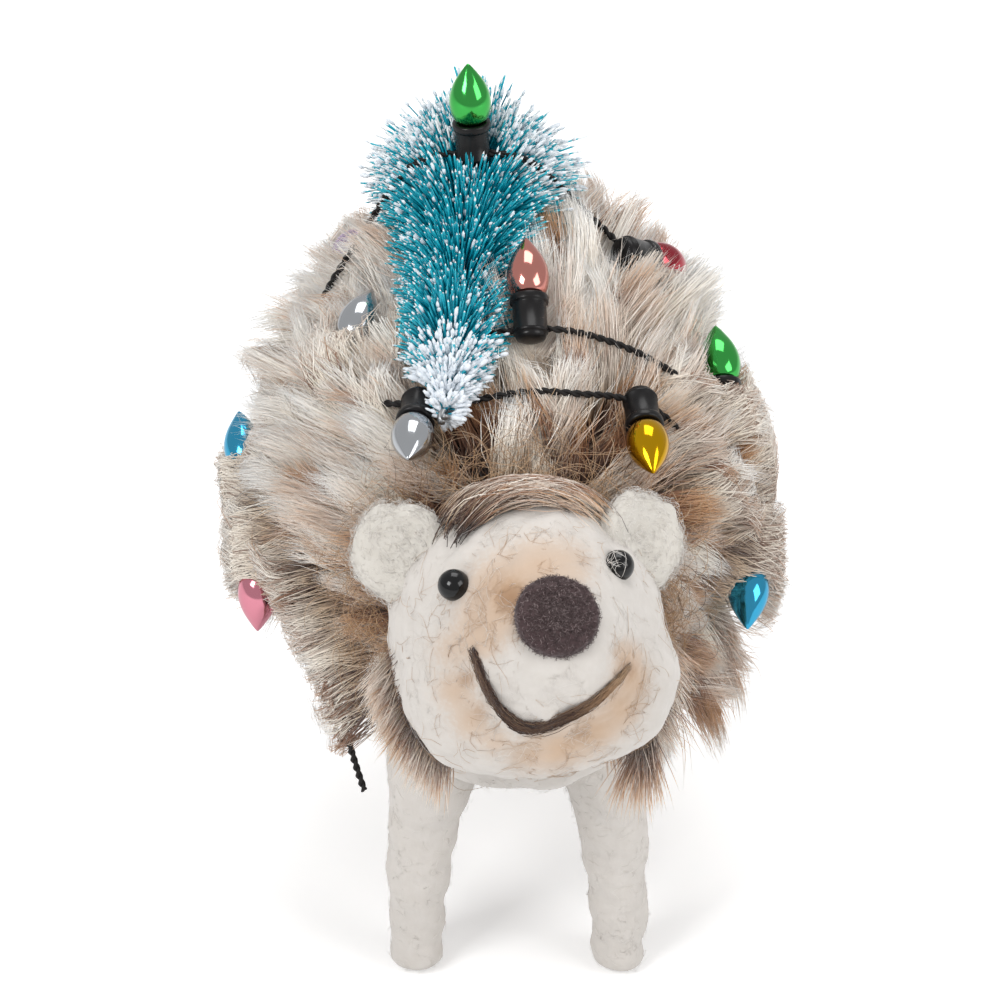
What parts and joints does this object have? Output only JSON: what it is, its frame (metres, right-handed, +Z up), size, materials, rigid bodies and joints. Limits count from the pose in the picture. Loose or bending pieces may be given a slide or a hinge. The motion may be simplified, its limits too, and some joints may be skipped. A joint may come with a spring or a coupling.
{
  "type": "hedgehog figurine",
  "caption": "Felted wool hedgehog with a long fur coat that carries a bottle-brush tree on its back, strapped on by a string of small plated lights.",
  "frame": {"origin": "on the table, under the middle of the figurine's bounding box", "axes": "+Z up, the face looks towards -Y, and the hedgehog's left flank as seen from the front is on -X"},
  "size_m": [0.0853, 0.1354, 0.1312],
  "materials": {
    "white_wool": "needle-felted white wool, matt, with loose curly fibres",
    "long_pile_fur": "long pile fur, brown at the roots and cream at the tips, soft sheen",
    "nose_felt": "pressed felt, dark aubergine brown, matt",
    "brown_wool": "dark brown wool roving felted into the surface, matt",
    "black_bead": "polished black bead, high gloss",
    "tree_bristle": "thin teal bristles with snowy white ends, slight sheen",
    "wire": "bare twisted steel wire, dull grey",
    "black_cord": "two twisted strands with black insulation, satin",
    "socket_black": "moulded black plastic, gloss",
    "plated_pink": "metal-plated pink, mirror-bright",
    "plated_light_blue": "metal-plated light blue, mirror-bright",
    "plated_silver": "metal-plated silver, mirror-bright",
    "plated_gold": "metal-plated gold, mirror-bright",
    "plated_green": "metal-plated green, mirror-bright",
    "plated_rose": "metal-plated rose, mirror-bright",
    "plated_red": "metal-plated red, mirror-bright",
    "plated_purple": "metal-plated purple, mirror-bright"
  },
  "bodies": {
    "root": {"body_core": "white_wool", "fur_coat": "long_pile_fur", "head": "white_wool", "chest": "white_wool", "tree_wire": "wire", "tree_bristles": "tree_bristle", "front_left_leg": "white_wool", "front_right_leg": "white_wool", "rear_left_leg": "white_wool", "rear_right_leg": "white_wool", "front_leg_wire": "wire", "rear_leg_wire": "wire", "left_eye": "black_bead", "left_ear": "white_wool", "right_eye": "black_bead", "right_ear": "white_wool", "nose": "nose_felt", "smile": "brown_wool", "light_cord": "black_cord", "socket_01": "socket_black", "bulb_01": "plated_pink", "socket_02": "socket_black", "bulb_02": "plated_light_blue", "socket_03": "socket_black", "bulb_03": "plated_silver", "socket_04": "socket_black", "bulb_04": "plated_gold", "socket_05": "socket_black", "bulb_05": "plated_light_blue", "socket_06": "socket_black", "bulb_06": "plated_green", "socket_07": "socket_black", "bulb_07": "plated_rose", "socket_08": "socket_black", "bulb_08": "plated_silver", "socket_09": "socket_black", "bulb_09": "plated_green", "socket_10": "socket_black", "bulb_10": "plated_red", "socket_11": "socket_black", "bulb_11": "plated_gold", "socket_12": "socket_black", "bulb_12": "plated_purple", "socket_13": "socket_black", "bulb_13": "plated_red"}
  },
  "joints": []
}
